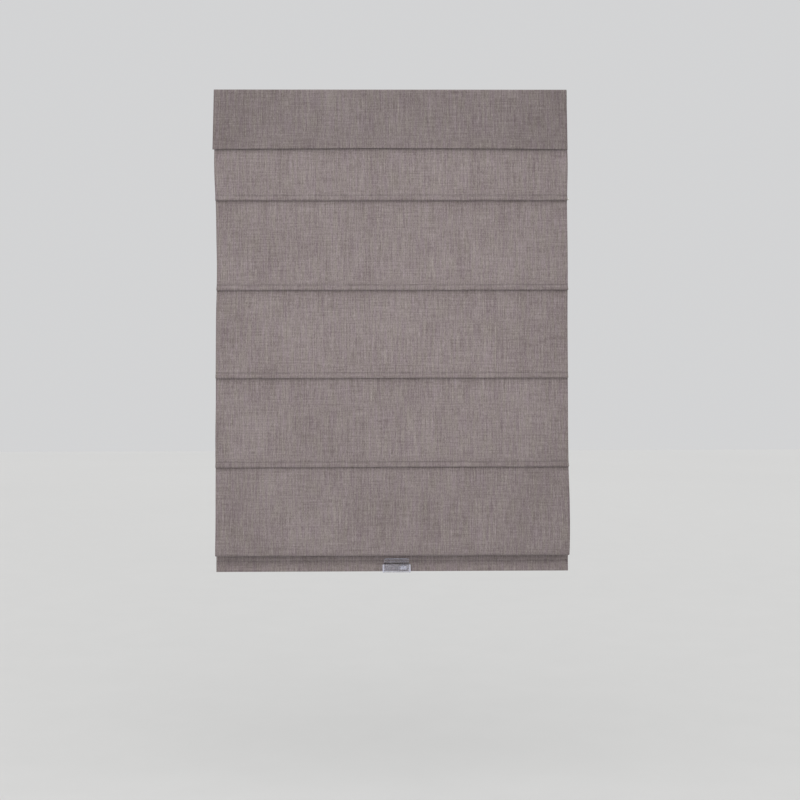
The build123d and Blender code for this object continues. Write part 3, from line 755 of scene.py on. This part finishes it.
# Four panels between the tucks, the last one running on into the loop
BODIES = ["headrail", "front_rod_upper", "ring_line_upper", "front_rod_lower", "ring_line_lower"]
CALM_TOP = -20.0
# Shade painted into the colour where the loop gathers: towards the last panel's foot and from the fold up
# the loop's back.
FOLD_SHADE = 0.2
used = 0.0
for i, seam in enumerate(SEAMS):
    if i == 0:
        path = [(FRONT_Y, CLOTH_TOP, 0)]
    else:
        path = from_top(FRONT_Y + 2 * STEP, SEAMS[i - 1]) + below_tuck(ROD_Z[i - 1])
    path += [(FRONT_Y, seam, PANEL_BEND)] + tuck(ROD_Y, ROD_Z[i])
    last = i == len(SEAMS) - 1
    if last:
        path += over(FRONT_Y + STEP, seam) + below_tuck(ROD_Z[i]) + loop_front
    else:
        path += to_top(FRONT_Y + STEP, seam)
    panel, used = cloth(
        f"cloth_panel_{i + 1}", path, CLOTH_HALF, fine=[seam], seams=[seam],
        calm=[seam, SEAMS[max(i - 1, 0)], CALM_TOP], swell=0.55, seed=20 + i,
        stands_for="shade_cloth",
        before=used, shaded=(0.0, FOLD_SHADE if last else 0.0))
    blend_between(panel)

panel, used = cloth(
    "cloth_loop_back", loop_back, CLOTH_HALF, fine=[], seams=[], calm=[REAR_SEAM], swell=0.3, seed=31,
    stands_for="shade_cloth", before=used, shaded=(FOLD_SHADE, 0.1),
    turned=LOOP_TURNED)
blend_between(panel)

# The skirt from the rear seam down, and the hem round the bottom rail
rail_low, rail_high = box_mm("bottom_rail")
SKIRT_EASE, SKIRT_BEND = 30.0, 60.0
HEM_HEIGHT, HEM_TURN, HEM_BEND, HEM_FOOT_BEND = 27.0, 5.0, 2.0, 2.5
SKIRT_Y = round(rail_low[1] - SLACK - HALF_THICK, 1)
HEM_BACK_Y = round(rail_high[1] + SLACK + HALF_THICK, 1)
HEM_FOOT_Z = FOOT + HALF_THICK
HEM_TOP = FOOT + HEM_HEIGHT
HEM_SEAM = HEM_TOP + 0.9
HEM_MIDDLE = FOOT + 15.4
skirt = from_top(REAR_Y + STEP, REAR_SEAM) + tuck(REAR_ROD_Y, REAR_ROD_Z)
skirt += over(REAR_Y + 2 * STEP, REAR_SEAM)
skirt += [
    (REAR_ROD_Y + WRAP + STEP, REAR_ROD_Z + SHOULDER, PANEL_BEND),
    (SKIRT_Y, REAR_ROD_Z - SKIRT_EASE, SKIRT_BEND),
    (SKIRT_Y, HEM_FOOT_Z, HEM_FOOT_BEND),
    (HEM_BACK_Y, HEM_FOOT_Z, HEM_FOOT_BEND),
    (HEM_BACK_Y, rail_high[2] + SLACK, HEM_BEND),
    (SKIRT_Y + STEP, HEM_TOP, HEM_BEND),
    (SKIRT_Y + STEP, HEM_TOP + HEM_TURN, 0),
]
# A little shade painted into the skirt's colour, more towards its end.
panel, used = cloth(
    "cloth_skirt", skirt, CLOTH_HALF, fine=[HEM_SEAM], seams=[HEM_SEAM], calm=[REAR_SEAM, HEM_MIDDLE],
    swell=0.3, seed=32, stands_for="shade_cloth", before=used,
    shaded=(0.04, 0.07))
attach(panel, "bottom")

# The valance: over the channel's front lip, down its front, and a hem turned up behind its foot
channel_low, channel_high = box_mm("headrail_channel")
valance_low, valance_high = box_mm("valance")
VALANCE_FLAP, VALANCE_REACH, VALANCE_HEM = 6.0, 6.1, 22.0
VALANCE_HEM_STEP, VALANCE_HEM_LEAN = 1.31, 1.04
VALANCE_TOP_BEND, VALANCE_HANG_BEND, VALANCE_FOOT_BEND = 3.0, 80.0, 0.62
VALANCE_CUT = 3000.0
VALANCE_CALM = -10.0
VALANCE_STILL = -33.0
VALANCE_Y = FRONT_Y - STEP
VALANCE_TOP_Z = channel_high[2] + HALF_THICK
VALANCE_FOOT_Y = FRONT_Y - VALANCE_REACH
VALANCE_FOOT_Z = valance_low[2] + HALF_THICK
VALANCE_HEM_Y = VALANCE_FOOT_Y + VALANCE_HEM_STEP
VALANCE_HEM_Z = VALANCE_FOOT_Z + VALANCE_HEM
valance = [
    (channel_low[1] + VALANCE_FLAP, VALANCE_TOP_Z, 0),
    (VALANCE_Y, VALANCE_TOP_Z, VALANCE_TOP_BEND),
    (VALANCE_Y, channel_low[2], VALANCE_HANG_BEND),
    (VALANCE_FOOT_Y, VALANCE_FOOT_Z, VALANCE_FOOT_BEND),
    (VALANCE_HEM_Y, VALANCE_FOOT_Z, VALANCE_FOOT_BEND),
    (VALANCE_HEM_Y + VALANCE_HEM_LEAN, VALANCE_HEM_Z, 0),
]
# Shade painted evenly into the valance's colour.
panel, _ = cloth(
    "valance_cloth", valance, valance_high[0], fine=[VALANCE_HEM_Z], seams=[],
    calm=[VALANCE_CALM, VALANCE_STILL], swell=0.9, seed=33,
    stands_for="valance", before=VALANCE_CUT, edge=valance_edge, shaded=(0.24, 0.24), arch=3.0)
blend_between(panel)


# Stitches along the seams, with the only draws of rng
STITCH_PITCH = 4.2
STITCH_INSET = 6
STITCH_RADIUS = 0.22
STITCH_LIFT = 0.16
STITCH_SINK = 0.2
THREAD_SIDES = 6
rng = random.Random(11)


def stitches(name, body, y, z):
    """A row of lockstitches along a seam, each a short thread that dips into the cloth at its ends."""
    points, faces = [], []
    hoops = 5
    x = -CLOTH_HALF + STITCH_INSET
    while x < CLOTH_HALF - STITCH_INSET:
        reach = STITCH_PITCH * 0.36 + rng.uniform(-0.1, 0.1)
        faces += hoop_faces(len(points), hoops, THREAD_SIDES)
        for k in range(hoops):
            along = -1 + k / 2
            lift = STITCH_LIFT * (1 - along * along)
            for q in range(THREAD_SIDES):
                angle = q * 2 * math.pi / THREAD_SIDES
                points.append((x + along * reach, y - lift + STITCH_RADIUS * math.cos(angle),
                               z + STITCH_RADIUS * math.sin(angle)))
        x += STITCH_PITCH
    obj = mesh_object(name, points, faces, [THREAD])
    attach(obj, body)


for i, seam in enumerate(SEAMS):
    stitches(f"seam_stitches_{i + 1}", BODIES[i + 1], FRONT_Y + STITCH_SINK, seam - STITCH_DROP)
stitches("hem_stitches", "bottom", SKIRT_Y + STITCH_SINK, HEM_SEAM - STITCH_DROP)


# Ring ties
TIE_TURNS = 3
TIE_SPACING = 0.6
TIE_RADIUS = 1.25
TIE_THREAD = 0.25
TIE_LEAN = 0.25
TIE_SINK = 0.3


def ring_tie(name, body, ring):
    """The few turns of thread that sew a ring to its seam, round the ring's front."""
    x, _, z = middle_mm(ring)
    y = round(box_mm(ring)[0][1] + TIE_SINK, 1)
    points, faces = [], []
    hoops = 14
    for turn in range(TIE_TURNS):
        faces += hoop_faces(len(points), hoops, THREAD_SIDES, closed=True)
        at = x + (turn - 1) * TIE_SPACING
        for k in range(hoops):
            c, s = math.cos(k * 2 * math.pi / hoops), math.sin(k * 2 * math.pi / hoops)
            for q in range(THREAD_SIDES):
                angle = q * 2 * math.pi / THREAD_SIDES
                out = TIE_RADIUS + TIE_THREAD * math.cos(angle)
                points.append((at + TIE_THREAD * math.sin(angle) + TIE_LEAN * c, y + out * c, z + out * s))
    obj = mesh_object(name, points, faces, [THREAD])
    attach(obj, body)


TIED = {"upper": "ring_line_upper", "middle": "ring_line_lower", "lower": "bottom"}
for _, side_name in SIDES:
    for level, body in TIED.items():
        ring_tie(f"ring_tie_{level}_{side_name}", body, f"{level}_ring_{side_name}")


# Cords: the straight lengths between the rings, and the turns wound on the spools
joints = {j["name"]: j for j in frame["joints"]}
CORD_X, CORD_Y, _ = middle_mm("lift_cord_right")
CORD_RADIUS = 0.7
_, SHAFT_Y, SHAFT_Z = (round(v / MM, 1) for v in joints["shaft_turn"]["pos_m"])
LOW_CORD_END = 2.0
LOW_CORD_STEP = 0.6
WOUND_TURNS = 8
WOUND_RADIUS = 8.66
STEPS_PER_TURN = 28


def tube(name, line, radius, material, sides=10):
    """A round tube along points."""
    line = np.asarray(line, float)
    way = np.gradient(line, axis=0)
    way /= np.linalg.norm(way, axis=1)[:, None]
    up = np.tile((0.0, 0.0, 1.0), (len(line), 1))
    up[np.abs(way[:, 2]) > 0.9] = (0.0, 1.0, 0.0)
    right = np.cross(way, up)
    right /= np.linalg.norm(right, axis=1)[:, None]
    other = np.cross(right, way)
    angles = np.arange(sides) * 2 * math.pi / sides
    hoops = line[:, None] + radius * (np.cos(angles)[None, :, None] * right[:, None]
                                      + np.sin(angles)[None, :, None] * other[:, None])
    run = np.concatenate([[0], np.cumsum(np.linalg.norm(np.diff(line, axis=0), axis=1))])
    uvs = np.stack([np.tile(np.abs(angles - math.pi) * radius, len(line)), np.repeat(run, sides)], -1)
    return mesh_object(name, hoops.reshape(-1, 3), hoop_faces(0, len(line), sides), [material],
                       uvs=uvs, sharp=60)


def drop_line(x, top, bottom, spacing=2.5):
    """Even points straight down from top to bottom."""
    count = max(4, int(abs(top - bottom) / spacing))
    return [(x, CORD_Y, top + (bottom - top) * k / count) for k in range(count + 1)]


def squashed_cord(name, body, x, top, bottom):
    """A straight length of cord, on a body, with a mesh of its own."""
    cord = tube(name, drop_line(x, top, bottom), CORD_RADIUS, BRAID)
    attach(cord, body)
    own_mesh(cord)
    return cord


for side, side_name in SIDES:
    x = side * CORD_X
    top = squashed_cord(f"lift_cord_top_{side_name}", "headrail", x, SHAFT_Z, SEAMS[1])
    middle = squashed_cord(
        f"lift_cord_middle_{side_name}", "ring_line_upper", x, SEAMS[1], SEAMS[3])
    short = drop_line(x, SEAMS[3], REAR_SEAM + LOW_CORD_END, LOW_CORD_STEP)
    low = tube(f"lift_cord_low_{side_name}", short, CORD_RADIUS, BRAID)
    blend_between(low)
    for piece in (top, middle, low):
        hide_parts(f"lift_cord_{side_name}")
    turns = []
    for k in range(WOUND_TURNS * STEPS_PER_TURN + 1):
        angle = math.pi + k * 2 * math.pi / STEPS_PER_TURN
        turns.append((x + 2 * CORD_RADIUS * k / STEPS_PER_TURN, SHAFT_Y + WOUND_RADIUS * math.cos(angle),
                      SHAFT_Z + WOUND_RADIUS * math.sin(angle)))
    wound = tube(f"wound_turns_{side_name}", turns, CORD_RADIUS, BRAID, 8)
    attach(wound, "lift_shaft")
    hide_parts(f"wound_cord_{side_name}")

# Floor and light
FLOOR_REACH = 30
FLOOR_Z = -1.72
floor_mesh = bpy.data.meshes.new("floor")
floor_mesh.from_pydata(
    [(x * FLOOR_REACH, y * FLOOR_REACH, FLOOR_Z) for x, y in ((-1, -1), (1, -1), (1, 1), (-1, 1))],
    [], [(0, 1, 2, 3)])
floor_mesh.materials.append(plain("floor_paint", (0.62, 0.62, 0.615), (0.65, 0.65, 0.645), 0.9, 6.0, 0.0002))
floor = bpy.data.objects.new("floor", floor_mesh)
scene.collection.objects.link(floor)

world = bpy.data.worlds.new("studio")
world.use_nodes = True
sky = world.node_tree.nodes["Background"]
sky.inputs["Color"].default_value = (0.985, 0.99, 1.0, 1)
sky.inputs["Strength"].default_value = 0.66
scene.world = world


def lamp(name, turned, raised, softness, power, color=(1, 1, 1)):
    """A wide, soft sun on the room's side, turned degrees to the right and raised degrees up."""
    data = bpy.data.lights.new(name, "SUN")
    data.angle = math.radians(softness)
    data.energy = power
    data.color = color
    turned, raised = math.radians(turned), math.radians(raised)
    toward = Vector((-math.sin(turned) * math.cos(raised), math.cos(turned) * math.cos(raised),
                     -math.sin(raised)))
    obj = bpy.data.objects.new(name, data)
    obj.rotation_mode = "QUATERNION"
    obj.rotation_quaternion = toward.to_track_quat("-Z", "Y")
    scene.collection.objects.link(obj)


lamp("key", -12, 55, 100, 1.45, (1.0, 0.99, 0.97))
lamp("front", 15, 12, 60, 0.12)
